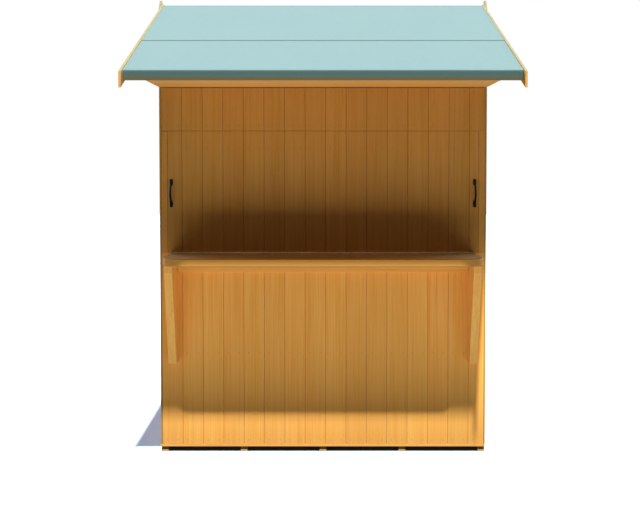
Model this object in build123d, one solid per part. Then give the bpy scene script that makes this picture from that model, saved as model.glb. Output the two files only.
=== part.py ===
from build123d import *
import math
import os

# Outdoor garden bar: a boarded shed body with a serving hatch, a counter and a deep front canopy.
# X runs along the front, Y from front to back and Z up, in millimetres.
# The origin is on the ground under the middle of the body.

# Body
body_width = 1790.0
body_depth = 1190.0
wall_top = 2008.0
cladding = 11.0
stud = 34.0

# Floor
bearer_count = 5
bearer_width = 38.0
bearer_height = 30.0
bearer_inset = 6.0
floor_thickness = 12.0

# Serving hatch in the front wall
counter_height = 1100.0
front_header_height = 238.0
stile_width = 31.5
hatch_gap = 3.0
rail_height = 46.0
rail_lap = 12.0
ledge_width = 70.0
ledge_thickness = 16.0
ledge_inset = 60.0

# Pull handles
handle_height = 154.0
handle_edge = 22.5
handle_above_counter = 329.0
handle_bar = 11.0
handle_reach = 34.0
handle_foot_width = 17.0
handle_foot_height = 34.0
handle_foot_thickness = 4.0
handle_foot_corner = 6.0
handle_foot_edge = 1.5
handle_bar_inset = 14.0

# Counter and its brackets
counter_thickness = 42.0
counter_end_inset = 60.0
counter_depth = 272.0
counter_corner_x = 145.0
counter_corner_y = 84.0
counter_top_round = 3.0
counter_under_round = 7.0
bracket_thickness = 45.0
bracket_end_inset = 55.0
bracket_height = 553.0
bracket_nose_reach = 161.0
bracket_nose_height = 44.0
bracket_foot_reach = 55.0
bracket_edge_round = 3.0

# Roof
roof_pitch = 29.0
front_overhang = 559.0
rear_overhang = 49.0
roof_board = 12.0
felt = 3.0
felt_fold = 52.0
felt_fold_round = 12.0
ridge_felt_run = 540.0
verge_overhang = 43.0
batten_depth = 20.0
batten_foot_gap = 4.0
soffit_board = 11.0
ridge_beam_width = 34.0
ridge_beam_height = 70.0
purlin_width = 28.0
purlin_height = 45.0

# Bargeboards and finials
barge_thickness = 12.0
barge_plumb_height = 77.0
barge_rise = 5.0
barge_past_eave = 31.0
finial_thickness = 12.0
finial_top_rise = 27.0
finial_height = 160.0
finial_width = 110.0
finial_tip = 14.0

# Door in the rear wall
door_width = 700.0
rear_header_height = 158.0
door_gap = 3.0
door_ledge_height = 70.0
door_ledge_end_gap = 40.0
hinge_count = 3
hinge_thickness = 3.0
hinge_strap_length = 300.0
hinge_strap_height = 34.0
hinge_tip_height = 14.0
hinge_plate_width = 40.0
hinge_plate_height = 110.0
hinge_knuckle = 10.0
hinge_end_distance = 220.0
door_handle_height = 1000.0
door_handle_edge = 60.0

# Sizes that follow from the ones above
half_width = body_width / 2
half_depth = body_depth / 2
inner_half_width = half_width - cladding
inner_half_depth = half_depth - cladding
floor_top = bearer_height + floor_thickness
hatch_head = wall_top - front_header_height
hatch_half_width = inner_half_width - stile_width
door_head = wall_top - rear_header_height
slope = math.tan(math.radians(roof_pitch))
plumb = 1 / math.cos(math.radians(roof_pitch))
board_top_drop = 2 * felt * plumb
board_under_drop = (2 * felt + roof_board) * plumb
roof_half_width = half_width + verge_overhang
roof_run = (body_depth + front_overhang + rear_overhang) / 2
ridge_y = (rear_overhang - front_overhang) / 2
ridge_height = wall_top + roof_run * slope + board_under_drop
front_eave = ridge_y - roof_run
rear_eave = ridge_y + roof_run
frame_bottom = floor_top + stud
frame_top = wall_top - stud
front_face = -half_depth


# One box between two corners
def block(x_range, y_range, z_range):
    low = (x_range[0], y_range[0], z_range[0])
    size = (x_range[1] - x_range[0], y_range[1] - y_range[0], z_range[1] - z_range[0])
    return Pos(*low) * Box(*size, align=(Align.MIN, Align.MIN, Align.MIN))


# One outline in the Y-Z plane, carried along X
def prism(outline, x_low, x_high):
    profile = Plane.YZ * Polygon(*outline, align=None)
    return Pos(x_low, 0, 0) * extrude(profile, amount=x_high - x_low, dir=(1, 0, 0))


def mirrored(piece):
    return mirror(piece, about=Plane.YZ)


# Height of a roof plane at a place from front to back, below the felt's outer face by a plumb drop
def roof_height(y, drop=0.0):
    return ridge_height - abs(y - ridge_y) * slope - drop


# The space below the roof boards, which cuts the top of each piece that carries them
def under_roof():
    outline = [
        (front_eave, floor_top),
        (rear_eave, floor_top),
        (rear_eave, roof_height(rear_eave, board_under_drop)),
        (ridge_y, roof_height(ridge_y, board_under_drop)),
        (front_eave, roof_height(front_eave, board_under_drop)),
    ]
    return prism(outline, -roof_half_width, roof_half_width)


def write(name, *pieces):
    solids = [solid for piece in pieces for solid in piece.solids()]
    node = solids[0] if len(solids) == 1 else Compound(solids)
    export_step(node, f"parts/{name}.step")


def make_floor():
    half_run = half_width - bearer_inset / 2 - bearer_width / 2
    spacing = 2 * half_run / (bearer_count - 1)
    y_range = (-half_depth + bearer_inset, half_depth - bearer_inset)
    bearers = []
    for number in range(bearer_count):
        centre = -half_run + number * spacing
        x_range = (centre - bearer_width / 2, centre + bearer_width / 2)
        bearers.append(block(x_range, y_range, (0, bearer_height)))
    write("floor_bearers", *bearers)
    boards = block((-half_width, half_width), (-half_depth, half_depth), (bearer_height, floor_top))
    write("floor_boards", boards)


def make_front_wall():
    y_range = (-half_depth, -inner_half_depth)
    full = (-inner_half_width, inner_half_width)
    write("front_lower_wall", block(full, y_range, (floor_top, counter_height)))
    write("front_header", block(full, y_range, (hatch_head, wall_top)))
    stile = block((hatch_half_width, inner_half_width), y_range, (counter_height, hatch_head))
    write("front_right_stile", stile)
    write("front_left_stile", mirrored(stile))


def make_side_walls():
    wall = block((inner_half_width, half_width), (-half_depth, half_depth), (floor_top, wall_top))
    write("right_wall", wall)
    write("left_wall", mirrored(wall))


def make_rear_wall():
    y_range = (inner_half_depth, half_depth)
    full = (-inner_half_width, inner_half_width)
    side = block((door_width / 2, inner_half_width), y_range, (floor_top, door_head))
    write("rear_wall_right", side)
    write("rear_wall_left", mirrored(side))
    write("rear_header", block(full, y_range, (door_head, wall_top)))


# Triangles over the side walls, which reach forward to the canopy's eave
def make_gables():
    y_range = (front_eave + felt + batten_depth, half_depth)
    sheet = block((inner_half_width, half_width), y_range, (wall_top, ridge_height))
    gable = sheet & under_roof()
    write("right_gable", gable)
    write("left_gable", mirrored(gable))


# Rails and studs behind the boards
def make_wall_frame():
    inner = inner_half_width - stud
    inner_y = inner_half_depth - stud
    x_full = (-inner_half_width, inner_half_width)
    front_y = (-inner_half_depth, -inner_y)
    rear_y = (inner_y, inner_half_depth)
    side_y = (-inner_y, inner_y)
    right_x = (inner, inner_half_width)
    low_z = (floor_top, frame_bottom)
    high_z = (frame_top, wall_top)
    door_half = door_width / 2

    rear_low = block((door_half, inner_half_width), rear_y, low_z)
    long_rails = [
        block(x_full, front_y, low_z),
        block(x_full, front_y, high_z),
        block(x_full, rear_y, high_z),
        rear_low,
        mirrored(rear_low),
    ]
    write("front_and_rear_rails", *long_rails)

    side_low = block(right_x, side_y, low_z)
    side_high = block(right_x, side_y, high_z)
    write("side_rails", side_low, mirrored(side_low), side_high, mirrored(side_high))

    stud_z = (frame_bottom, frame_top)
    sill = (counter_height + rail_lap - rail_height, counter_height + rail_lap)
    head = (hatch_head - rail_lap, hatch_head - rail_lap + rail_height)
    right_studs = [
        block(right_x, front_y, stud_z),
        block(right_x, rear_y, stud_z),
        block(right_x, (-stud / 2, stud / 2), stud_z),
        block((door_half, door_half + stud), rear_y, stud_z),
    ]
    front_stud_x = inner / 3
    x_range = (front_stud_x - stud / 2, front_stud_x + stud / 2)
    right_studs.append(block(x_range, front_y, (frame_bottom, sill[0])))
    write("wall_studs", *right_studs, *[mirrored(piece) for piece in right_studs])

    between = (-inner, inner)
    sill_rail = block(between, front_y, sill)
    head_rail = block(between, front_y, head)
    door_rail = block((-door_half, door_half), rear_y, (door_head, door_head + stud))
    write("opening_rails", sill_rail, head_rail, door_rail)


# Lift-out shutter, flush with the wall boards, on two inner ledges
def make_hatch():
    panel_half = hatch_half_width - hatch_gap
    panel_z = (counter_height, hatch_head - hatch_gap)
    panel = block((-panel_half, panel_half), (-half_depth, -inner_half_depth), panel_z)
    write("hatch_panel", panel)
    ledge_half = inner_half_width - stud - ledge_inset
    ledge_y = (-inner_half_depth, -inner_half_depth + ledge_thickness)
    low = (counter_height + ledge_inset, counter_height + ledge_inset + ledge_width)
    high = (hatch_head - ledge_inset - ledge_width, hatch_head - ledge_inset)
    low_ledge = block((-ledge_half, ledge_half), ledge_y, low)
    high_ledge = block((-ledge_half, ledge_half), ledge_y, high)
    write("hatch_ledges", low_ledge, high_ledge)


# A bowed round bar between two rounded foot plates, standing out towards -Y from a face at Y 0
def pull_handle():
    half = handle_height / 2
    radius = handle_bar / 2
    bow = Plane.YZ * ThreePointArc(
        (0, handle_bar_inset - half), (radius - handle_reach, 0), (0, half - handle_bar_inset)
    )
    start = Plane(origin=bow @ 0, z_dir=bow % 0)
    bar = sweep(start * Circle(radius), path=bow)
    handle = bar & block((-handle_bar, handle_bar), (-2 * handle_reach, 0), (-half, half))
    outline = RectangleRounded(handle_foot_width, handle_foot_height, handle_foot_corner)
    plate = extrude(Plane.XZ * outline, amount=handle_foot_thickness)
    front = plate.faces().sort_by(Axis.Y)[0]
    foot = fillet(front.edges(), handle_foot_edge)
    middle = half - handle_foot_height / 2
    return handle + Pos(0, 0, middle) * foot + Pos(0, 0, -middle) * foot


def make_hatch_handles():
    handle = pull_handle()
    place = (hatch_half_width - handle_edge, front_face, counter_height + handle_above_counter)
    right = Pos(*place) * handle
    write("right_hatch_handle", right)
    write("left_hatch_handle", mirrored(right))


# A quarter of the ellipse that rounds the counter's outer corners
def corner_arc(x, y, start):
    return EllipticalCenterArc((x, y), counter_corner_x, counter_corner_y, start_angle=start, arc_size=90)


# Serving shelf with rounded outer corners and edges, resting on a bracket near each end
def make_counter():
    front = front_face - counter_depth
    end = half_width - counter_end_inset
    straight_x = end - counter_corner_x
    straight_y = front + counter_corner_y
    edges = [
        Line((-end, straight_y), (-end, front_face)),
        Line((-end, front_face), (end, front_face)),
        Line((end, front_face), (end, straight_y)),
        corner_arc(straight_x, straight_y, -90),
        Line((straight_x, front), (-straight_x, front)),
        corner_arc(-straight_x, straight_y, 180),
    ]
    under = counter_height - counter_thickness
    outline = Pos(0, 0, under) * make_face(edges)
    shelf = extrude(outline, amount=counter_thickness, dir=(0, 0, 1))
    upper = shelf.faces().sort_by(Axis.Z)[-1].edges().sort_by(Axis.Y)[:-1]
    shelf = fillet(upper, counter_top_round)
    lower = shelf.faces().sort_by(Axis.Z)[0].edges().sort_by(Axis.Y)[:-1]
    shelf = fillet(lower, counter_under_round)
    write("counter_top", shelf)

    foot = under - bracket_height
    nose = front_face - bracket_nose_reach
    side = [
        (front_face, foot),
        (front_face - bracket_foot_reach, foot),
        (nose, under - bracket_nose_height),
        (nose, under),
        (front_face, under),
    ]
    outer = half_width - bracket_end_inset
    bracket = prism(side, outer - bracket_thickness, outer)
    edges = bracket.faces().filter_by(Axis.X).edges()
    edges = edges.filter_by_position(Axis.Y, nose - 1, front_face - 1)
    edges = edges.filter_by_position(Axis.Z, foot + 1, under - 1)
    bracket = fillet(edges, bracket_edge_round)
    write("right_counter_bracket", bracket)
    write("left_counter_bracket", mirrored(bracket))


def make_roof_boards():
    for name, eave, inward in (("front", front_eave, felt), ("rear", rear_eave, -felt)):
        edge = eave + inward
        outline = [
            (ridge_y, roof_height(ridge_y, board_top_drop)),
            (ridge_y, roof_height(ridge_y, board_under_drop)),
            (edge, roof_height(edge, board_under_drop)),
            (edge, roof_height(edge, board_top_drop)),
        ]
        write(f"{name}_roof_boards", prism(outline, -roof_half_width, roof_half_width))


# Felt sheets: one over each slope, folded down at the eave, and one over the ridge
def make_felt():
    fold_foot = roof_height(front_eave) - felt_fold
    under = board_top_drop
    over = felt * plumb
    for name, eave, sign in (("front", front_eave, 1), ("rear", rear_eave, -1)):
        inner = eave + sign * felt
        corner = roof_height(eave, over)
        outline = [
            (ridge_y, roof_height(ridge_y, over)),
            (ridge_y, roof_height(ridge_y, under)),
            (inner, roof_height(inner, under)),
            (inner, fold_foot),
            (eave, fold_foot),
            (eave, corner),
        ]
        sheet = prism(outline, -roof_half_width, roof_half_width)
        bends = sheet.edges().filter_by(Axis.X).filter_by_position(Axis.Z, corner - 0.5, corner + 0.5)
        bend = [edge for edge in bends if abs(edge.center().Y - eave) < felt / 2]
        write(f"{name}_felt", fillet(bend, felt_fold_round))
    front = ridge_y - ridge_felt_run
    rear = ridge_y + ridge_felt_run
    outline = [
        (front, roof_height(front, over)),
        (ridge_y, roof_height(ridge_y, over)),
        (rear, roof_height(rear, over)),
        (rear, roof_height(rear)),
        (ridge_y, ridge_height),
        (front, roof_height(front)),
    ]
    write("ridge_felt", prism(outline, -roof_half_width, roof_half_width))


# Battens that the felt folds over at both eaves
def make_eave_battens():
    z_range = (roof_height(front_eave) - felt_fold + batten_foot_gap, ridge_height)
    x_range = (-roof_half_width, roof_half_width)
    front = front_eave + felt
    rear = rear_eave - felt
    write("front_eave_batten", block(x_range, (front, front + batten_depth), z_range) & under_roof())
    write("rear_eave_batten", block(x_range, (rear - batten_depth, rear), z_range) & under_roof())


def make_soffit():
    y_range = (front_eave + felt + batten_depth, -inner_half_depth)
    z_range = (wall_top, wall_top + soffit_board)
    soffit = block((-inner_half_width, inner_half_width), y_range, z_range)
    write("canopy_soffit", soffit & under_roof())


# Ridge beam and one purlin under each slope, from gable to gable
def make_roof_beams():
    x_range = (-inner_half_width, inner_half_width)
    seat = roof_height(ridge_y, board_under_drop)
    y_range = (ridge_y - ridge_beam_width / 2, ridge_y + ridge_beam_width / 2)
    beam = block(x_range, y_range, (seat - ridge_beam_height, ridge_height))
    write("ridge_beam", beam & under_roof())
    purlins = []
    for sign in (-1, 1):
        middle = ridge_y + sign * roof_run / 2
        y_range = (middle - purlin_width / 2, middle + purlin_width / 2)
        low = roof_height(middle, board_under_drop) - purlin_height
        purlins.append(block(x_range, y_range, (low, ridge_height)) & under_roof())
    write("purlins", *purlins)


# Bargeboards on the ends of the roof boards, and a pointed finial over each apex joint
def make_bargeboards():
    for name, sign in (("front", -1), ("rear", 1)):
        end = ridge_y + sign * (roof_run + barge_past_eave)
        outline = [
            (ridge_y, roof_height(ridge_y, -barge_rise)),
            (ridge_y, roof_height(ridge_y, barge_plumb_height - barge_rise)),
            (end, roof_height(end, barge_plumb_height - barge_rise)),
            (end, roof_height(end, -barge_rise)),
        ]
        board = prism(outline, roof_half_width, roof_half_width + barge_thickness)
        write(f"right_{name}_bargeboard", board)
        write(f"left_{name}_bargeboard", mirrored(board))
    top = ridge_height + finial_top_rise
    low = top - finial_height
    middle = (top + low) / 2
    outline = [
        (ridge_y - finial_tip / 2, top),
        (ridge_y + finial_tip / 2, top),
        (ridge_y + finial_width / 2, middle),
        (ridge_y + finial_tip / 2, low),
        (ridge_y - finial_tip / 2, low),
        (ridge_y - finial_width / 2, middle),
    ]
    inner = roof_half_width + barge_thickness
    finial = prism(outline, inner, inner + finial_thickness)
    write("right_finial", finial)
    write("left_finial", mirrored(finial))


# One strap hinge in the X-Z plane: plate on the wall, knuckle over the joint, tapered strap on the door
def strap_hinge():
    strap = [
        (0, -hinge_strap_height / 2),
        (hinge_strap_length, -hinge_tip_height / 2),
        (hinge_strap_length, hinge_tip_height / 2),
        (0, hinge_strap_height / 2),
    ]
    turned = Plane(origin=(0, 0, 0), x_dir=(1, 0, 0), z_dir=(0, -1, 0))
    leaf = extrude(turned * Polygon(*strap, align=None), amount=hinge_thickness, dir=(0, 1, 0))
    plate_size = (hinge_plate_width, hinge_thickness, hinge_plate_height)
    plate = Pos(-hinge_plate_width, 0, -hinge_plate_height / 2) * Box(
        *plate_size, align=(Align.MIN, Align.MIN, Align.MIN)
    )
    knuckle = Cylinder(hinge_knuckle / 2, hinge_strap_height)
    return leaf + plate + Pos(0, hinge_knuckle / 2, 0) * knuckle


def make_door():
    half = door_width / 2 - door_gap
    z_range = (floor_top + door_gap, door_head - door_gap)
    write("rear_door", block((-half, half), (inner_half_depth, half_depth), z_range))
    ledge_half = half - door_ledge_end_gap
    ledge_y = (inner_half_depth - ledge_thickness, inner_half_depth)
    low = z_range[0] + hinge_end_distance
    high = z_range[1] - hinge_end_distance
    ledges = []
    hinges = []
    for number in range(hinge_count):
        middle = low + number * (high - low) / (hinge_count - 1)
        ledge_z = (middle - door_ledge_height / 2, middle + door_ledge_height / 2)
        ledges.append(block((-ledge_half, ledge_half), ledge_y, ledge_z))
        hinges.append(Pos(-door_width / 2, half_depth, middle) * strap_hinge())
    write("door_ledges", *ledges)
    write("door_hinges", *hinges)
    handle = Rot(0, 0, 180) * pull_handle()
    write("door_handle", Pos(half - door_handle_edge, half_depth, door_handle_height) * handle)


os.makedirs("parts", exist_ok=True)
make_floor()
make_front_wall()
make_side_walls()
make_rear_wall()
make_gables()
make_wall_frame()
make_hatch()
make_hatch_handles()
make_counter()
make_roof_boards()
make_felt()
make_eave_battens()
make_soffit()
make_roof_beams()
make_bargeboards()
make_door()
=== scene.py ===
import bpy
import math
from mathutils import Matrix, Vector


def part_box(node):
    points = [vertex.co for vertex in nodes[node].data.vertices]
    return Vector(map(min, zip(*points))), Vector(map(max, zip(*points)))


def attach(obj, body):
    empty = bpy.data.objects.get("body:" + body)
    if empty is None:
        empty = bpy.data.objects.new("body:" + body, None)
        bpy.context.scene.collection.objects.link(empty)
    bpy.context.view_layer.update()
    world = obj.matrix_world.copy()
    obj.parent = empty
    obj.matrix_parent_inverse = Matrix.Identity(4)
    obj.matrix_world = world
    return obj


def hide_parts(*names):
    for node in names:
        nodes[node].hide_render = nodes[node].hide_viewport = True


# Outdoor garden bar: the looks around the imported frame, in metres
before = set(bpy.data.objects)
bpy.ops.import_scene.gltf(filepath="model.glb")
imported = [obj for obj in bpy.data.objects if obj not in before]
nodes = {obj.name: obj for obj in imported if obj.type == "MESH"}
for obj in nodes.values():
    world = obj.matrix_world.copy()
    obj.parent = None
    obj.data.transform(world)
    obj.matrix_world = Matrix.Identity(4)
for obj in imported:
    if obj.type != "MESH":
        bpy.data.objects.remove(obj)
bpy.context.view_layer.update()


# Camera, close to the photograph's own, but tilted a little so that the other views keep the ridge
camera = {
    "distance": 3.946,  # from the front wall to the eye
    "height": 1.5618,
    "tilt": 1.5,  # degrees below level
    "focalPixels": 721.2,
    "centreX": 323.0,  # the pixel that the camera points at
    "centreY": 187.85,
    "width": 640.0,
    "heightPixels": 530.0,
    "sensor": 36.0,
    "farClip": 60,
}


def makeCamera():
    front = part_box("front_lower_wall")[0].y
    data = bpy.data.cameras.new("barCamera")
    eye = bpy.data.objects.new("barCamera", data)
    bpy.context.scene.collection.objects.link(eye)
    eye.location = (0, front - camera["distance"], camera["height"])
    eye.rotation_euler = (math.radians(90 - camera["tilt"]), 0, 0)
    data.sensor_width = camera["sensor"]
    data.lens = camera["sensor"] * camera["focalPixels"] / camera["width"]
    data.shift_x = (camera["width"] / 2 - camera["centreX"]) / camera["width"]
    data.shift_y = (camera["centreY"] - camera["heightPixels"] / 2) / camera["width"]
    data.clip_end = camera["farClip"]
    bpy.context.scene.camera = eye


makeCamera()
print("camera ready")


# Node helpers
def addNode(tree, kind, **settings):
    node = tree.nodes.new(kind)
    for key, value in settings.items():
        setattr(node, key, value)
    return node


def joinNodes(tree, source, target):
    tree.links.new(source, target)


def addMath(tree, operation, first, second=None):
    node = addNode(tree, "ShaderNodeMath", operation=operation)
    for number, value in enumerate((first, second)):
        if value is None:
            continue
        if isinstance(value, (int, float)):
            node.inputs[number].default_value = value
        else:
            joinNodes(tree, value, node.inputs[number])
    return node.outputs[0]


def addNoise(tree, vector, scale, detail, roughness=0.5):
    node = addNode(tree, "ShaderNodeTexNoise")
    node.inputs["Scale"].default_value = scale
    node.inputs["Detail"].default_value = detail
    node.inputs["Roughness"].default_value = roughness
    joinNodes(tree, vector, node.inputs["Vector"])
    return node.outputs["Fac"]


def addRange(tree, value, fromLow, fromHigh, toLow, toHigh):
    node = addNode(tree, "ShaderNodeMapRange")
    limits = {"From Min": fromLow, "From Max": fromHigh, "To Min": toLow, "To Max": toHigh}
    for name, number in limits.items():
        node.inputs[name].default_value = number
    joinNodes(tree, value, node.inputs["Value"])
    return node.outputs["Result"]


def addRamp(tree, value, stops):
    node = addNode(tree, "ShaderNodeValToRGB")
    ramp = node.color_ramp
    while len(ramp.elements) < len(stops):
        ramp.elements.new(0.5)
    for element, (place, colour) in zip(ramp.elements, stops):
        element.position = place
        element.color = colour
    joinNodes(tree, value, node.inputs["Fac"])
    return node.outputs["Color"]


def addMix(tree, amount, first, second, blend="MIX"):
    node = addNode(tree, "ShaderNodeMix", data_type="RGBA", blend_type=blend)
    for name, value in (("Factor", amount), ("A", first), ("B", second)):
        socket = [s for s in node.inputs if s.name == name and s.enabled][0]
        if isinstance(value, (int, float, tuple)):
            socket.default_value = value
        else:
            joinNodes(tree, value, socket)
    return [s for s in node.outputs if s.enabled][0]


def addStretch(tree, across, along, deep, share):  # a vector that runs slowly along the grain
    node = addNode(tree, "ShaderNodeCombineXYZ")
    joinNodes(tree, across, node.inputs[0])
    joinNodes(tree, addMath(tree, "MULTIPLY", along, share), node.inputs[1])
    joinNodes(tree, deep, node.inputs[2])
    return node.outputs[0]


def addTint(tree, colour, red, green, blue):  # the colour times the three values
    node = addNode(tree, "ShaderNodeCombineColor")
    for socket, value in zip(node.inputs, (red, green, blue)):
        joinNodes(tree, value, socket)
    return addMix(tree, 1.0, colour, node.outputs[0], "MULTIPLY")


def splitVector(tree, vector):
    node = addNode(tree, "ShaderNodeSeparateXYZ")
    joinNodes(tree, vector, node.inputs[0])
    return node.outputs


def objectPlace(tree):
    return addNode(tree, "ShaderNodeTexCoord").outputs["Object"]


def addBump(tree, shader, height, strength, distance):
    node = addNode(tree, "ShaderNodeBump")
    node.inputs["Strength"].default_value = strength
    node.inputs["Distance"].default_value = distance
    joinNodes(tree, height, node.inputs["Height"])
    joinNodes(tree, node.outputs["Normal"], shader.inputs["Normal"])


def newMaterial(name):
    paint = bpy.data.materials.new(name)
    paint.use_nodes = True
    tree = paint.node_tree
    return paint, tree, tree.nodes["Principled BSDF"]


def fromScreen(red, green, blue):  # a screen colour, 0 to 255, as the linear one that a shader takes
    values = []
    for part in (red, green, blue):
        part = part / 255
        values.append(part / 12.92 if part <= 0.04045 else ((part + 0.055) / 1.055) ** 2.4)
    return (*values, 1)


noiseSpan = (0.3, 0.7)  # most of a noise's values lie between these


# Timber: long soft bands, fine fibres along the grain, and a tone of its own for each board
timber = {
    "bands": (26.0, 4.0, 0.6),  # scale, detail and roughness: about 40 mm across the grain
    "bandStretch": 0.035,
    "fibres": (150.0, 3.0, 0.65),
    "fibreStretch": 0.012,
    "fibreShare": 0.62,
    "stops": (0.34, 0.48, 0.62),  # where the grain is dark, middling and pale
    "boardShift": 9.0,  # so that no board repeats its neighbour's grain
    "drift": (1.7, 2.0),
    "greenSpan": (0.42, 0.66),
    "greenShare": 0.35,
    "toneSpread": 0.04,
    "paleShare": 0.35,  # of the spread, above the middle tone
    "jointHalf": 0.0016,
    "roughness": 0.62,
    "roughSpread": (0.08, -0.05),  # in the dark grain and in the pale
    "gloss": 0.25,
    "bump": 0.25,
    "bumpDepth": 0.0008,
}


def makeTimber(name, look):
    look = dict(timber, **look)
    paint, tree, shader = newMaterial(name)
    place = objectPlace(tree)
    axes = dict(zip("xyz", splitVector(tree, place)))
    along, across = axes[look["grain"]], axes[look["across"]]
    deep = [axes[axis] for axis in "xyz" if axis not in (look["grain"], look["across"])][0]
    cover = look.get("cover", 0.0)
    if cover:
        steps = addMath(tree, "DIVIDE", addMath(tree, "SUBTRACT", across, look["start"]), cover)
        number = addMath(tree, "FLOOR", steps)
        chance = addNode(tree, "ShaderNodeTexWhiteNoise", noise_dimensions="1D")
        joinNodes(tree, addMath(tree, "ADD", number, look["seed"]), chance.inputs["W"])
        tone = chance.outputs["Value"]
        hue = addNode(tree, "ShaderNodeSeparateColor")
        joinNodes(tree, chance.outputs["Color"], hue.inputs[0])
        shift = addMath(tree, "MULTIPLY", tone, look["boardShift"])
        along = addMath(tree, "ADD", along, shift)
    bands = addStretch(tree, across, along, deep, look["bandStretch"])
    fibres = addStretch(tree, across, along, deep, look["fibreStretch"])
    band = addNoise(tree, bands, *look["bands"])
    fibre = addNoise(tree, fibres, *look["fibres"])
    drift = addNoise(tree, place, *look["drift"])
    bandPart = addMath(tree, "MULTIPLY", band, 1 - look["fibreShare"])
    grain = addMath(tree, "ADD", bandPart, addMath(tree, "MULTIPLY", fibre, look["fibreShare"]))
    tones = (look["dark"], look["middle"], look["pale"])
    colour = addRamp(tree, grain, list(zip(look["stops"], tones)))
    green = addRange(tree, drift, *look["greenSpan"], 0.0, 1.0)
    green = addMath(tree, "MULTIPLY", green, look["greenShare"])
    colour = addMix(tree, green, colour, look["green"])
    if cover:
        spread = look["toneSpread"]
        level = addRange(tree, tone, 0.0, 1.0, 1.0 - spread, 1.0 + spread * look["paleShare"])
        warm = addRange(tree, hue.outputs[1], 0.0, 1.0, 1.0 - spread, 1.0)
        warmed = addMath(tree, "MULTIPLY", level, warm)
        colour = addTint(tree, colour, level, warmed, warmed)
        middle = addMath(tree, "SUBTRACT", addMath(tree, "FRACT", steps), 0.5)
        middle = addMath(tree, "ABSOLUTE", middle)
        joint = addRange(tree, middle, 0.5 - look["jointHalf"] / cover, 0.5, 0.0, 1.0)
        colour = addMix(tree, joint, colour, look["joint"])
    if "paintedShade" in look:  # painted shade: a little darker towards the counter, and on the soffit towards the wall
        axis, shadedEnd, fullEnd, share = look["paintedShade"]
        dim = addRange(tree, axes[axis], shadedEnd, fullEnd, share, 1.0)
        colour = addTint(tree, colour, dim, dim, dim)
    if "edge" in look:  # another colour where the surface faces a certain way: painted light and shade
        facing = addNode(tree, "ShaderNodeNewGeometry")
        turned = splitVector(tree, facing.outputs["Normal"])[look["edgeAxis"]]
        shown = addRange(tree, turned, *look["edgeFacing"], 0.0, 1.0)
        if "edgeEnd" in look:
            shown = addMath(tree, "MULTIPLY", shown, addRange(tree, turned, *look["edgeEnd"], 0.0, 1.0))
        colour = addMix(tree, shown, colour, look["edge"])
    joinNodes(tree, colour, shader.inputs["Base Color"])
    roughs = [look["roughness"] + part for part in look["roughSpread"]]
    joinNodes(tree, addRange(tree, grain, *noiseSpan, *roughs), shader.inputs["Roughness"])
    shader.inputs["Specular IOR Level"].default_value = look["gloss"]
    addBump(tree, shader, grain, look["bump"], look["bumpDepth"])
    return paint


boards = {  # shared by the looks and the shapes, so that the painted joints lie on the real ones
    "cover": 0.1123,
    "count": 16,
    "soffitCount": 5,
    "frontStart": -0.884,  # where the first board of each run starts
    "sideStart": -0.595 - 5 * 0.1123,
    "soffitStart": -1.131,
    "floorStart": -0.651,
    "joint": 0.0018,
    "play": 0.00015,  # half the gap between two boards
    "stileShort": 0.003,
    "hatchWider": 0.0013,
    "headerShort": 0.0045,
}
cladding = {
    "pale": fromScreen(255, 192, 99),
    "middle": fromScreen(251, 181, 85),
    "dark": fromScreen(238, 166, 73),
    "green": fromScreen(240, 181, 88),
    "joint": fromScreen(196, 134, 62),
    "cover": boards["cover"],
}
frontBoardsLook = dict(cladding, grain="z", across="x", start=boards["frontStart"], seed=3.5)
rearBoardsLook = dict(cladding, grain="z", across="x", start=boards["frontStart"], seed=21.5)
sideBoardsLook = dict(  # painted shade: a darker edge colour on the boards' front-facing edges
    cladding,
    grain="z",
    across="y",
    start=boards["sideStart"],
    seed=47.5,
    edge=fromScreen(191, 143, 70),
    edgeAxis=1,
    edgeFacing=(-0.6, -0.9),
)
soffitLook = dict(
    cladding,
    grain="x",
    across="y",
    start=boards["soffitStart"],
    seed=63.5,
    pale=fromScreen(255, 203, 124),
    middle=fromScreen(253, 193, 107),
    dark=fromScreen(241, 177, 93),
    # painted shade: darker towards the wall
    paintedShade=("y", -0.6, -1.0, 0.88),
)
# painted shade: the cladding's colours darkened for the boards under the canopy
paintedShadeLook = dict(
    frontBoardsLook,
    pale=fromScreen(232, 175, 90),
    middle=fromScreen(227, 166, 78),
    dark=fromScreen(213, 151, 66),
    green=fromScreen(216, 165, 81),
    joint=fromScreen(170, 116, 52),
)


def dimLook(look, share):
    dimmed = dict(look)
    for key in ("pale", "middle", "dark", "green", "joint"):
        dimmed[key] = (*[part * share for part in look[key][:3]], 1)
    return dimmed


# painted shade: the hatch and header dimmed further, and darker towards the counter
hatchLook = dict(dimLook(paintedShadeLook, 0.94), paintedShade=("z", 1.25, 1.62, 0.82))
frontTimber = makeTimber("frontCladding", frontBoardsLook)
paintedShadeTimber = makeTimber("paintedShadeCladding", paintedShadeLook)  # painted shade: a darker copy of the cladding for the boards under the canopy
hatchTimber = makeTimber("hatchCladding", hatchLook)
rearTimber = makeTimber("rearCladding", rearBoardsLook)
sideTimber = makeTimber("sideCladding", sideBoardsLook)
soffitTimber = makeTimber("soffitCladding", soffitLook)
floorLook = dict(cladding, grain="x", across="y", start=boards["floorStart"], seed=81.5)
floorTimber = makeTimber("floorTimber", floorLook)

sawn = {
    "pale": fromScreen(226, 186, 126),
    "middle": fromScreen(214, 170, 108),
    "dark": fromScreen(190, 144, 84),
    "green": fromScreen(200, 164, 106),
    "roughness": 0.75,
    "bump": 0.4,
}
uprightTimber = makeTimber("sawnUpright", dict(sawn, grain="z", across="x"))
crossTimber = makeTimber("sawnAcross", dict(sawn, grain="x", across="z"))
depthTimber = makeTimber("sawnDeep", dict(sawn, grain="y", across="x"))

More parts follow.
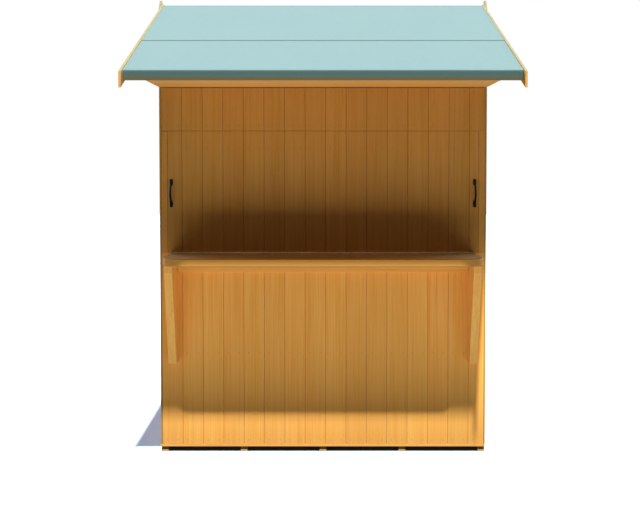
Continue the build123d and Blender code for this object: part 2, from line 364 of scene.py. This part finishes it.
planed = {
    "pale": fromScreen(180, 143, 92),
    "middle": fromScreen(169, 132, 77),
    "dark": fromScreen(147, 110, 60),
    "green": fromScreen(160, 132, 80),
    "joint": fromScreen(130, 92, 48),
    "roughness": 0.6,
    "gloss": 0.2,
}
counterLook = dict(
    planed,
    grain="x",
    across="y",
    cover=0.0907,
    start=-0.868,
    jointHalf=0.001,
    toneSpread=0.05,
    seed=5.5,
    # painted light and shade: the counter's front, ends and lower round lighter and warmer than its top
    # and underside
    edge=fromScreen(211, 149, 68),
    edgeAxis=2,
    edgeFacing=(0.9, 0.0),
    edgeEnd=(-0.8, 0.0),
)
counterTimber = makeTimber("counterPlanks", counterLook)
bracketLook = {
    "pale": fromScreen(255, 202, 112),
    "middle": fromScreen(253, 190, 94),
    "dark": fromScreen(240, 172, 80),
    "green": fromScreen(236, 182, 98),
    "roughness": 0.5,
}
bracketTimber = makeTimber("bracketTimber", dict(bracketLook, grain="z", across="x"))

trim = {  # painted shade: darker and greyer on the up-facing tops of the bargeboards and finials
    "pale": fromScreen(231, 179, 103),
    "middle": fromScreen(223, 168, 90),
    "dark": fromScreen(206, 149, 74),
    "green": fromScreen(212, 166, 92),
    "roughness": 0.6,
}
# painted shade: darker and greyer where the tops face up
bargeTopShade = {"edge": fromScreen(126, 125, 92), "edgeAxis": 2, "edgeFacing": (0.55, 0.8)}
bargeTimber = makeTimber("bargeTimber", dict(trim, grain="y", across="z", **bargeTopShade))
finialTopShade = dict(bargeTopShade, edgeFacing=(0.2, 0.45))
finialTimber = makeTimber("finialTimber", dict(trim, grain="z", across="y", **finialTopShade))
# painted highlight: the front eave batten much paler than the other sawn timber, for a light line under
# the felt's fold
battenHighlightLook = {
    "pale": fromScreen(255, 226, 160),
    "middle": fromScreen(252, 216, 146),
    "dark": fromScreen(240, 200, 128),
}
battenHighlightTimber = makeTimber("battenHighlightTimber", dict(sawn, grain="x", across="z", **battenHighlightLook))
ledgerTimber = makeTimber("ledgerTimber", dict(cladding, cover=0.0, grain="x", across="z"))


# Green mineral felt: fine granules, faint blotches, and painted shade on the fold at the eaves
feltLook = {
    "granulePale": fromScreen(115, 137, 137),
    "granuleDark": fromScreen(89, 114, 116),
    "blotch": fromScreen(105, 129, 127),
    "foldTop": fromScreen(77, 103, 102),
    "foldMiddle": fromScreen(82, 103, 94),
    "foldFoot": fromScreen(104, 94, 60),
    "foldHigh": 2.0265,  # where the fold's painted shade starts, and its foot
    "foldLow": 1.9766,
    "foldSoft": 0.003,
    "foldWander": 0.001,
    "foldStops": (0.2, 0.34, 0.8),
    "granules": (520.0, 2.0, 0.7),  # scale, detail and roughness
    "blotches": (3.2, 4.0),
    "blotchSpan": (0.45, 0.75),
    "blotchShare": 0.55,
    "patches": (9.0, 3.0),
    "roughness": 0.9,
    "gloss": 0.2,
    "bump": (0.5, 0.0012),
}


def makeFelt(name):
    paint, tree, shader = newMaterial(name)
    place = objectPlace(tree)
    granules = addNoise(tree, place, *feltLook["granules"])
    blotches = addNoise(tree, place, *feltLook["blotches"])
    tones = (feltLook["granuleDark"], feltLook["granulePale"])
    colour = addRamp(tree, granules, list(zip(noiseSpan, tones)))
    amount = addRange(tree, blotches, *feltLook["blotchSpan"], 0.0, feltLook["blotchShare"])
    colour = addMix(tree, amount, colour, feltLook["blotch"])
    patches = addNoise(tree, place, *feltLook["patches"])
    wander = addRange(tree, patches, *noiseSpan, -feltLook["foldWander"], feltLook["foldWander"])
    height = addMath(tree, "ADD", splitVector(tree, place)[2], wander)
    # painted shade: darker colours on the fold at the eaves
    upFold = addRange(tree, height, feltLook["foldLow"], feltLook["foldHigh"], 0.0, 1.0)
    tones = (feltLook["foldFoot"], feltLook["foldMiddle"], feltLook["foldTop"])
    foldShade = addRamp(tree, upFold, list(zip(feltLook["foldStops"], tones)))
    foldEdge = feltLook["foldHigh"] - feltLook["foldSoft"]
    fold = addRange(tree, height, foldEdge, feltLook["foldHigh"], 1.0, 0.0)
    colour = addMix(tree, fold, colour, foldShade)
    joinNodes(tree, colour, shader.inputs["Base Color"])
    shader.inputs["Roughness"].default_value = feltLook["roughness"]
    shader.inputs["Specular IOR Level"].default_value = feltLook["gloss"]
    addBump(tree, shader, granules, *feltLook["bump"])
    return paint


roofFelt = makeFelt("mineralFelt")


# Black powder-coated iron
ironLook = {
    "main": fromScreen(13, 12, 12),
    "worn": fromScreen(22, 20, 19),
    "gloss": 0.22,
    "roughness": (0.42, 0.58),
    "pores": (900.0, 2.0),
    "wear": (40.0, 3.0),
    "wearStops": (0.35, 0.75),
    "bump": (0.25, 0.0004),
}


def makeIron(name, main, worn):
    paint, tree, shader = newMaterial(name)
    place = objectPlace(tree)
    pores = addNoise(tree, place, *ironLook["pores"])
    wear = addNoise(tree, place, *ironLook["wear"])
    colour = addRamp(tree, wear, list(zip(ironLook["wearStops"], (main, worn))))
    joinNodes(tree, colour, shader.inputs["Base Color"])
    rough = addRange(tree, wear, *noiseSpan, *ironLook["roughness"])
    joinNodes(tree, rough, shader.inputs["Roughness"])
    shader.inputs["Specular IOR Level"].default_value = ironLook["gloss"]
    addBump(tree, shader, pores, *ironLook["bump"])
    return paint


blackIron = makeIron("blackIron", ironLook["main"], ironLook["worn"])
print("materials ready")


# Mesh helpers
longEdge = 0.2  # edges that run the length of a board are longer than this
onFace = 0.0001  # a corner this close to a face lies on it


def quietSelection():
    bpy.ops.object.select_all(action="DESELECT")


def takePiece(piece):
    quietSelection()
    piece.select_set(True)
    bpy.context.view_layer.objects.active = piece


def pickEdges(piece, test):
    mesh = piece.data
    for face in mesh.polygons:
        face.select = False
    for vertex in mesh.vertices:
        vertex.select = False
    for edge in mesh.edges:
        first = mesh.vertices[edge.vertices[0]].co
        second = mesh.vertices[edge.vertices[1]].co
        edge.select = bool(test(first, second))


def startBox(name, low, high):
    quietSelection()
    low, high = Vector(low), Vector(high)
    bpy.ops.mesh.primitive_cube_add(size=1, location=(low + high) / 2)
    piece = bpy.context.object
    piece.name = name
    piece.scale = high - low
    bpy.ops.object.transform_apply(location=False, rotation=False, scale=True)
    bpy.ops.object.transform_apply(location=True, rotation=True, scale=False)
    return piece


def bevelPicked(piece, width, segments=1):
    takePiece(piece)
    bpy.context.tool_settings.mesh_select_mode = (False, True, False)
    bpy.ops.object.mode_set(mode="EDIT")
    bpy.ops.mesh.bevel(offset=width, segments=segments, affect="EDGES")
    bpy.ops.object.mode_set(mode="OBJECT")


def repeatPiece(piece, count, step):
    takePiece(piece)
    array = piece.modifiers.new("boards", "ARRAY")
    array.count = count
    array.use_relative_offset = False
    array.use_constant_offset = True
    array.constant_offset_displace = step
    bpy.ops.object.modifier_apply(modifier=array.name)


def copyPiece(piece, name):
    double = piece.copy()
    double.data = piece.data.copy()
    double.name = name
    bpy.context.scene.collection.objects.link(double)
    return double


def cutPiece(piece, place, away):  # all that lies beyond the plane goes
    takePiece(piece)
    bpy.context.tool_settings.mesh_select_mode = (True, False, False)
    bpy.ops.object.mode_set(mode="EDIT")
    bpy.ops.mesh.select_all(action="SELECT")
    bpy.ops.mesh.bisect(plane_co=place, plane_no=away, use_fill=True, clear_outer=True)
    bpy.ops.object.mode_set(mode="OBJECT")


def trimToBox(piece, low, high):
    corners = [vertex.co for vertex in piece.data.vertices]
    for axis, away in enumerate(((1, 0, 0), (0, 1, 0), (0, 0, 1))):
        if max(corner[axis] for corner in corners) > high[axis] + onFace / 2:
            cutPiece(piece, high, away)
        if min(corner[axis] for corner in corners) < low[axis] - onFace / 2:
            cutPiece(piece, low, [-part for part in away])
        corners = [vertex.co for vertex in piece.data.vertices]


def finishPiece(piece, paint, slot, *replaced):
    takePiece(piece)
    bpy.ops.object.mode_set(mode="EDIT")
    bpy.ops.mesh.select_all(action="SELECT")
    bpy.ops.mesh.normals_make_consistent(inside=False)
    bpy.ops.object.mode_set(mode="OBJECT")
    piece.data.materials.clear()
    piece.data.materials.append(paint)
    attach(piece, "root")
    if replaced:
        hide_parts(*replaced)
    quietSelection()


# The roof's planes, worked out from the felt sheets
roof = {
    "pitch": math.radians(29),
    "feltAndBoard": 0.018,  # two felts and the boards, square to the slope
}
roof["sine"], roof["cosine"] = math.sin(roof["pitch"]), math.cos(roof["pitch"])
ridgeLow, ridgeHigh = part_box("ridge_felt")
underRidge = ridgeHigh.z - roof["feltAndBoard"] / roof["cosine"]
roof["ridge"] = Vector((0, (ridgeLow.y + ridgeHigh.y) / 2, underRidge))  # under the boards


# Wall boards: one board with its V joints, repeated, then cut to each wall
def makeRun(name, axis, first, outer, inner, top, foot):  # boards side by side along X (0) or Y (1)
    low, high = Vector((0, 0, foot)), Vector((0, 0, top))
    low[axis] = first + boards["play"]
    high[axis] = first + boards["cover"] - boards["play"]
    low[1 - axis], high[1 - axis] = min(outer, inner), max(outer, inner)
    board = startBox(name, low, high)
    pickEdges(board, lambda a, b: abs(a.z - b.z) > longEdge and abs(a[1 - axis] - outer) < onFace)
    bevelPicked(board, boards["joint"])
    step = [0, 0, 0]
    step[axis] = boards["cover"]
    repeatPiece(board, boards["count"], step)
    return board


def dressWall(run, node):
    low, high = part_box(node)
    if node == "hatch_panel":  # a finer joint at its sides
        low.x -= boards["hatchWider"]
        high.x += boards["hatchWider"]
        high.z += boards["hatchWider"]
    if node == "front_header":  # the shadow gap under the soffit
        high.z -= boards["headerShort"]
    piece = copyPiece(run, node + "_boards")
    trimToBox(piece, low, high)
    return piece


frontPaints = {
    "front_header": hatchTimber,
    "front_lower_wall": frontTimber,
    "front_right_stile": paintedShadeTimber,
    "front_left_stile": paintedShadeTimber,
    "hatch_panel": hatchTimber,
}


def makeWalls():
    low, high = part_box("front_header")
    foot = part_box("front_lower_wall")[0].z
    run = makeRun("frontRun", 0, boards["frontStart"], low.y, high.y, high.z, foot)
    for node, paint in frontPaints.items():
        piece = dressWall(run, node)
        if node == "front_left_stile":
            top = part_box(node)[1].z - boards["stileShort"]
            cutPiece(piece, (0, 0, top), (0, 0, 1))
        finishPiece(piece, paint, "timber_cladding", node)
    bpy.data.objects.remove(run)
    low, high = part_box("rear_header")
    run = makeRun("rearRun", 0, boards["frontStart"], high.y, low.y, high.z, foot)
    for node in ("rear_header", "rear_wall_left", "rear_wall_right", "rear_door"):
        finishPiece(dressWall(run, node), rearTimber, "timber_cladding", node)
    bpy.data.objects.remove(run)
    print("front and rear boards ready")
    for side in ("left", "right"):
        low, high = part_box(side + "_gable")
        outer, inner = (low.x, high.x) if side == "left" else (high.x, low.x)
        run = makeRun(side + "Run", 1, boards["sideStart"], outer, inner, high.z, foot)
        finishPiece(dressWall(run, side + "_wall"), sideTimber, "timber_cladding", side + "_wall")
        gable = dressWall(run, side + "_gable")
        for away in (-1, 1):
            cutPiece(gable, roof["ridge"], (0, away * roof["sine"], roof["cosine"]))
        finishPiece(gable, sideTimber, "timber_cladding", side + "_gable")
        bpy.data.objects.remove(run)
    print("side boards and gables ready")


makeWalls()


# Canopy soffit: boards along X
def makeSoffit():
    low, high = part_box("canopy_soffit")
    front = low.y + boards["play"]
    back = front + boards["cover"] - 2 * boards["play"]
    board = startBox("soffit_boards", (low.x, front, low.z), (high.x, back, high.z))
    pickEdges(board, lambda a, b: abs(a.x - b.x) > longEdge and abs(a.z - low.z) < onFace)
    bevelPicked(board, boards["joint"])
    repeatPiece(board, boards["soffitCount"], (0, boards["cover"], 0))
    trimToBox(board, low, high)
    cutPiece(board, roof["ridge"], (0, -roof["sine"], roof["cosine"]))
    finishPiece(board, soffitTimber, "timber_cladding", "canopy_soffit")
    print("soffit ready")


makeSoffit()


# Bead that closes the joint between counter and hatch, near-white: a painted highlight
bead = {
    "height": 0.006,
    "depth": 0.008,
    "endGap": 0.002,
    "round": 0.7,  # of its height
    "segments": 4,
    # painted highlight: near-white tones for a light line along the counter's rear edge
    "tones": (fromScreen(236, 226, 210), fromScreen(248, 240, 228)),
    "grain": (60.0, 3.0),
    "roughness": 0.55,
    "bump": (0.15, 0.0004),
}


def makeBeadPaint():
    paint, tree, shader = newMaterial("beadHighlight")
    grain = addNoise(tree, objectPlace(tree), *bead["grain"])
    colour = addRamp(tree, grain, list(zip(noiseSpan, bead["tones"])))
    joinNodes(tree, colour, shader.inputs["Base Color"])
    shader.inputs["Roughness"].default_value = bead["roughness"]
    addBump(tree, shader, grain, *bead["bump"])
    return paint


def makeBead():
    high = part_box("counter_top")[1]
    end = high.x - bead["endGap"]
    first = (-end, high.y - bead["depth"], high.z)
    piece = startBox("counter_bead", first, (end, high.y, high.z + bead["height"]))
    inside = Vector((0, high.y - onFace, high.z + onFace))
    pickEdges(piece, lambda a, b: abs(a.x - b.x) > longEdge and a.y < inside.y and a.z > inside.z)
    bevelPicked(piece, bead["height"] * bead["round"], bead["segments"])
    finishPiece(piece, makeBeadPaint(), "trim_timber")
    print("bead ready")


makeBead()


# Rail under the counter, between the brackets
ledger = {"height": 0.06, "depth": 0.02, "endGap": 0.001, "ease": 0.0015, "segments": 2}


def makeLedger():
    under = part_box("counter_top")[0].z
    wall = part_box("front_lower_wall")[0].y
    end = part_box("right_counter_bracket")[0].x - ledger["endGap"]
    low = (-end, wall - ledger["depth"], under - ledger["height"])
    piece = startBox("counter_ledger", low, (end, wall, under))
    pickEdges(piece, lambda a, b: max(a.y, b.y) < wall - onFace)
    bevelPicked(piece, ledger["ease"], ledger["segments"])
    finishPiece(piece, ledgerTimber, "counter_timber")
    print("ledger ready")


makeLedger()


# Roof and floor boards: copies of the CAD sheets, parted into boards with eased edges
copies = {"weld": 0.00002, "flat": math.radians(1)}


def copyNode(node, name):
    piece = bpy.data.objects.new(name, nodes[node].data.copy())
    bpy.context.scene.collection.objects.link(piece)
    takePiece(piece)
    bpy.context.tool_settings.mesh_select_mode = (True, False, False)
    bpy.ops.object.mode_set(mode="EDIT")
    bpy.ops.mesh.select_all(action="SELECT")
    bpy.ops.mesh.remove_doubles(threshold=copies["weld"])
    bpy.ops.mesh.dissolve_limited(angle_limit=copies["flat"])
    bpy.ops.object.mode_set(mode="OBJECT")
    return piece


def joinPieces(pieces):
    takePiece(pieces[0])
    for piece in pieces[1:]:
        piece.select_set(True)
    bpy.ops.object.join()
    return pieces[0]


partings = {"gap": 0.0006, "ease": 0.0014, "onSlope": 0.0003, "floorBoards": 10, "roofBoards": 9}


def partSheet(node, start, step, count, onTop):  # step leads from one joint to the next
    sheet = copyNode(node, node + "_sheet")
    start, step = Vector(start), Vector(step)
    away = step.normalized()
    found = []
    for number in range(count):
        board = copyPiece(sheet, node + "_planks")
        if number:
            cutPiece(board, start + step * number + away * partings["gap"], -away)
        if number < count - 1:
            cutPiece(board, start + step * (number + 1) - away * partings["gap"], away)
        pickEdges(board, lambda a, b: abs(a.x - b.x) > longEdge and onTop(a) and onTop(b))
        bevelPicked(board, partings["ease"])
        found.append(board)
    bpy.data.objects.remove(sheet)
    return joinPieces(found)


def makeFloor():
    low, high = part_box("floor_boards")
    count = partings["floorBoards"]
    step = (0, (high.y - low.y) / count, 0)
    floor = partSheet("floor_boards", (0, low.y, low.z), step, count, lambda a: a.z > high.z - onFace)
    finishPiece(floor, floorTimber, "framing_timber", "floor_boards")


def makeRoofBoards():
    for node, away in (("front_roof_boards", -1), ("rear_roof_boards", 1)):
        low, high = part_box(node)
        foot = low.y if away < 0 else high.y
        count, ridge = partings["roofBoards"], roof["ridge"]
        run = abs(foot - ridge.y) / roof["cosine"] / count
        step = (0, away * run * roof["cosine"], -run * roof["sine"])
        square = Vector((0, away * roof["sine"], roof["cosine"]))
        onTop = lambda a: abs((a - ridge).dot(square)) < partings["onSlope"]
        finishPiece(partSheet(node, ridge, step, count, onTop), crossTimber, "framing_timber", node)


makeFloor()
makeRoofBoards()
print("floor and roof boards ready")


# Framing and trim with eased edges
easedNodes = {  # paint, slot, and how wide the edges are eased
    "floor_bearers": (depthTimber, "framing_timber", 0.0015),
    "front_and_rear_rails": (crossTimber, "framing_timber", 0.001),
    "side_rails": (depthTimber, "framing_timber", 0.001),
    "wall_studs": (uprightTimber, "framing_timber", 0.001),
    "opening_rails": (crossTimber, "framing_timber", 0.001),
    "hatch_ledges": (crossTimber, "framing_timber", 0.001),
    "door_ledges": (crossTimber, "framing_timber", 0.001),
    "front_eave_batten": (battenHighlightTimber, "framing_timber", 0.001),
    "rear_eave_batten": (crossTimber, "framing_timber", 0.001),
    "ridge_beam": (crossTimber, "framing_timber", 0.0015),
    "purlins": (crossTimber, "framing_timber", 0.0015),
    "left_front_bargeboard": (bargeTimber, "trim_timber", 0.0012),
    "right_front_bargeboard": (bargeTimber, "trim_timber", 0.0012),
    "left_rear_bargeboard": (bargeTimber, "trim_timber", 0.0012),
    "right_rear_bargeboard": (bargeTimber, "trim_timber", 0.0012),
    "left_finial": (finialTimber, "trim_timber", 0.0015),
    "right_finial": (finialTimber, "trim_timber", 0.0015),
}


easing = {"segments": 2, "corner": math.radians(25)}


def easeNode(node, paint, slot, width):
    piece = copyNode(node, node + "_eased")
    bevel = piece.modifiers.new("ease", "BEVEL")
    bevel.width = width
    bevel.segments = easing["segments"]
    bevel.limit_method = "ANGLE"
    bevel.angle_limit = easing["corner"]
    takePiece(piece)
    bpy.ops.object.modifier_apply(modifier=bevel.name)
    finishPiece(piece, paint, slot, node)


for node, (paint, slot, width) in easedNodes.items():
    easeNode(node, paint, slot, width)
print("eased timbers ready")


# Screws of the ironwork, with the heads that the nails share
pullScrew = {"radius": 0.0036, "rise": 0.0016, "sides": 12}
hingeScrew = dict(pullScrew, radius=0.0045)
nailHead = {"radius": 0.0018, "rise": 0.0005, "sides": 8}
fixings = {
    "sunk": 0.002,
    "edge": 0.6,  # of the rise
    "footThick": 0.004,  # of a pull's foot
    "footMiddle": 0.0275,  # from a pull's end to its screw
    "hingeThick": 0.003,
    "halfPlate": 0.055,
    "plateScrew": (0.016, 0.04),  # across from the plate's edge, and up and down from its middle
    "strapScrews": (0.075, 0.17, 0.265, 0.325),
}


def makeHead(name, place, away, head):  # a low round head on the surface at place
    away, rise = Vector(away), head["rise"]
    quietSelection()
    bpy.ops.mesh.primitive_cylinder_add(
        vertices=head["sides"],
        radius=head["radius"],
        depth=rise + fixings["sunk"],
        location=Vector(place) + away * (rise - fixings["sunk"]) / 2,
        rotation=away.to_track_quat("Z", "Y").to_euler(),
    )
    piece = bpy.context.object
    piece.name = name
    bpy.ops.object.transform_apply(location=True, rotation=True, scale=False)
    outer = Vector(place).dot(away) + rise / 2
    pickEdges(piece, lambda a, b: a.dot(away) > outer and b.dot(away) > outer)
    bevelPicked(piece, rise * fixings["edge"])
    return piece


def placeHeads(name, places, away, head, paint):
    first = makeHead(name, places[0], away, head)
    found = [first]
    for place in places[1:]:
        piece = copyPiece(first, name)
        shift = Vector(place) - Vector(places[0])
        takePiece(piece)
        bpy.ops.object.mode_set(mode="EDIT")
        bpy.ops.mesh.select_all(action="SELECT")
        bpy.ops.transform.translate(value=shift)
        bpy.ops.object.mode_set(mode="OBJECT")
        found.append(piece)
    finishPiece(joinPieces(found), paint, "black_metal")


def screwPull(handle, name, face, away):
    low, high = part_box(handle)
    middle = (low.x + high.x) / 2
    heights = (low.z + fixings["footMiddle"], high.z - fixings["footMiddle"])
    placeHeads(name, [(middle, face, height) for height in heights], away, pullScrew, blackIron)


def makeScrews():
    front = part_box("front_left_stile")[0].y - fixings["footThick"]
    for side in ("left", "right"):
        screwPull(side + "_hatch_handle", side + "_handle_screws", front, (0, -1, 0))
    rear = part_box("door_handle")[0].y + fixings["footThick"]
    screwPull("door_handle", "door_handle_screws", rear, (0, 1, 0))
    low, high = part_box("door_hinges")
    face = low.y + fixings["hingeThick"]
    bottom, top = low.z + fixings["halfPlate"], high.z - fixings["halfPlate"]
    inward, apart = fixings["plateScrew"]
    places = []
    for height in (bottom, (bottom + top) / 2, top):
        places += [(low.x + inward, face, height + step) for step in (-apart, apart)]
        places += [(low.x + reach, face, height) for reach in fixings["strapScrews"]]
    placeHeads("hinge_screws", places, (0, 1, 0), hingeScrew, blackIron)


makeScrews()
print("screws ready")


# Nails of the wall boards, two to a board at each rail
nails = {"inset": 0.026, "endClear": 0.006}  # from a board's edge, and from the piece's ends
wallRows = (0.066, 0.7, 1.35, 1.984)  # heights above the ground
nailRows = {
    "front_lower_wall": ((0.066, 0.55, 1.0), (0, -1, 0)),
    "front_header": ((1.80, 1.984), (0, -1, 0)),
    "hatch_panel": ((1.195, 1.675), (0, -1, 0)),
    "rear_wall_left": (wallRows, (0, 1, 0)),
    "rear_wall_right": (wallRows, (0, 1, 0)),
    "rear_door": ((0.265, 1.627), (0, 1, 0)),
    "left_wall": (wallRows, (-1, 0, 0)),
    "right_wall": (wallRows, (1, 0, 0)),
}
nailPaint = makeIron("nailIron", fromScreen(132, 98, 58), fromScreen(158, 120, 74))


def boardPlaces(start, low, high, rows):  # two places a board at each row, none past the piece's ends
    found = []
    for number in range(boards["count"]):
        for offset in (nails["inset"], boards["cover"] - nails["inset"]):
            across = start + number * boards["cover"] + offset
            if low + nails["endClear"] < across < high - nails["endClear"]:
                found += [(across, row) for row in rows]
    return found


def nailWall(node, rows, away):
    low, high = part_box(node)
    if away[0]:
        face = low.x if away[0] < 0 else high.x
        found = boardPlaces(boards["sideStart"], low.y, high.y, rows)
        places = [(face, across, row) for across, row in found]
    else:
        face = low.y if away[1] < 0 else high.y
        found = boardPlaces(boards["frontStart"], low.x, high.x, rows)
        places = [(across, face, row) for across, row in found]
    placeHeads(node + "_nails", places, away, nailHead, nailPaint)


for node, (rows, away) in nailRows.items():
    nailWall(node, rows, away)
print("nails ready")


# Materials of the CAD nodes that stay
def paintNode(node, paint):
    piece = bpy.data.objects[node]
    for slot in piece.material_slots:
        slot.material = paint


nodePaints = {
    "counter_top": counterTimber,
    "left_counter_bracket": bracketTimber,
    "right_counter_bracket": bracketTimber,
    "front_felt": roofFelt,
    "rear_felt": roofFelt,
    "ridge_felt": roofFelt,
    "left_hatch_handle": blackIron,
    "right_hatch_handle": blackIron,
    "door_handle": blackIron,
    "door_hinges": blackIron,
}
for node, paint in nodePaints.items():
    paintNode(node, paint)
print("node materials ready")


# Pale floor and the studio light
studio = {
    "floorSize": 40.0,
    "floorSeen": (0.70, 0.87, 1.0, 1),
    "floorBounce": (0.04, 0.04, 0.04, 1),
    "floorCool": (0.03, 0.022, 0.125, 1),  # painted light: a cool glow for the camera in the shadow on the floor
    "coolReach": 0.06,  # full from this far outside the bearers
    "floorRoughness": 0.9,
    "skyStrength": 0.012,
    "skyColour": (0.86, 0.93, 1.0, 1),
    "sunStrength": 9.0,
    "sunSpread": 1.1,
    "sunAim": (-0.058, 0.3165, -1.0),  # the way its light travels
    "sunColour": (1, 1, 1),
    "sideStrength": 2.4,  # two soft lamps from behind, for the sides and the back
    "sideSpread": 40.0,
    "sideColour": (0.80, 0.91, 1.0),
    "sideAims": ((0.80, -0.55, -0.36), (-0.80, -0.55, -0.36)),
    "lowPower": 37.5,  # soft light from the floor in front
    "lowSize": (4.6, 1.0),
    "lowPlace": (0.0, -1.7, 0.08),
}


def makeSun(name, aim, strength, spread, colour):
    lamp = bpy.data.lights.new(name, "SUN")
    lamp.color = colour
    lamp.energy = strength
    lamp.angle = math.radians(spread)
    sun = bpy.data.objects.new(name, lamp)
    bpy.context.scene.collection.objects.link(sun)
    sun.rotation_euler = Vector(aim).to_track_quat("-Z", "Y").to_euler()


def makeFloorPaint():
    paint, tree, shader = newMaterial("paleFloor")
    path = addNode(tree, "ShaderNodeLightPath")
    seen = addMix(tree, path.outputs["Is Camera Ray"], studio["floorBounce"], studio["floorSeen"])
    joinNodes(tree, seen, shader.inputs["Base Color"])
    place = splitVector(tree, objectPlace(tree))
    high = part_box("floor_bearers")[1]
    sideways = addMath(tree, "SUBTRACT", addMath(tree, "ABSOLUTE", place[0]), high.x)
    deep = addMath(tree, "SUBTRACT", addMath(tree, "ABSOLUTE", place[1]), high.y)
    past = addMath(tree, "MAXIMUM", sideways, deep)
    outside = addRange(tree, past, 0.0, studio["coolReach"], 0.0, 1.0)
    # painted light: a cool glow seen only by the camera, outside the bar's footprint
    shader.inputs["Emission Color"].default_value = studio["floorCool"]
    cool = addMath(tree, "MULTIPLY", outside, path.outputs["Is Camera Ray"])
    joinNodes(tree, cool, shader.inputs["Emission Strength"])
    shader.inputs["Roughness"].default_value = studio["floorRoughness"]
    shader.inputs["Specular IOR Level"].default_value = 0.0
    return paint


def makeFloorPlane():
    bpy.ops.mesh.primitive_plane_add(size=studio["floorSize"], location=(0, 0, 0))
    floor = bpy.context.object
    floor.name = "studioFloor"
    floor.data.materials.append(makeFloorPaint())


def makeSky():  # faint as a light, white to the camera
    world = bpy.data.worlds.new("studioSky")
    bpy.context.scene.world = world
    world.use_nodes = True
    tree = world.node_tree
    sky = tree.nodes["Background"]
    sky.inputs["Color"].default_value = studio["skyColour"]
    sky.inputs["Strength"].default_value = studio["skyStrength"]
    plain = addNode(tree, "ShaderNodeBackground")
    plain.inputs["Color"].default_value = (1, 1, 1, 1)
    plain.inputs["Strength"].default_value = 1.0
    path = addNode(tree, "ShaderNodeLightPath")
    blend = addNode(tree, "ShaderNodeMixShader")
    shown = addMath(tree, "MAXIMUM", path.outputs["Is Camera Ray"], path.outputs["Is Glossy Ray"])
    joinNodes(tree, shown, blend.inputs["Fac"])
    joinNodes(tree, sky.outputs["Background"], blend.inputs[1])
    joinNodes(tree, plain.outputs["Background"], blend.inputs[2])
    joinNodes(tree, blend.outputs["Shader"], tree.nodes["World Output"].inputs["Surface"])


def makeLowLamp():
    lamp = bpy.data.lights.new("lowLamp", "AREA")
    lamp.shape = "RECTANGLE"
    lamp.size, lamp.size_y = studio["lowSize"]
    lamp.energy = studio["lowPower"]
    low = bpy.data.objects.new("lowLamp", lamp)
    bpy.context.scene.collection.objects.link(low)
    low.location = studio["lowPlace"]
    low.rotation_euler = (math.pi, 0, 0)
    low.visible_camera = False
    low.visible_glossy = False


def makeStudio():
    makeFloorPlane()
    makeSky()
    strength, spread, colour = studio["sunStrength"], studio["sunSpread"], studio["sunColour"]
    makeSun("studioSun", studio["sunAim"], strength, spread, colour)
    strength, spread, colour = studio["sideStrength"], studio["sideSpread"], studio["sideColour"]
    for number, aim in enumerate(studio["sideAims"]):
        makeSun("sideSun" + str(number), aim, strength, spread, colour)
    makeLowLamp()
    bpy.context.scene.view_settings.view_transform = "Standard"


makeStudio()
print("studio ready")
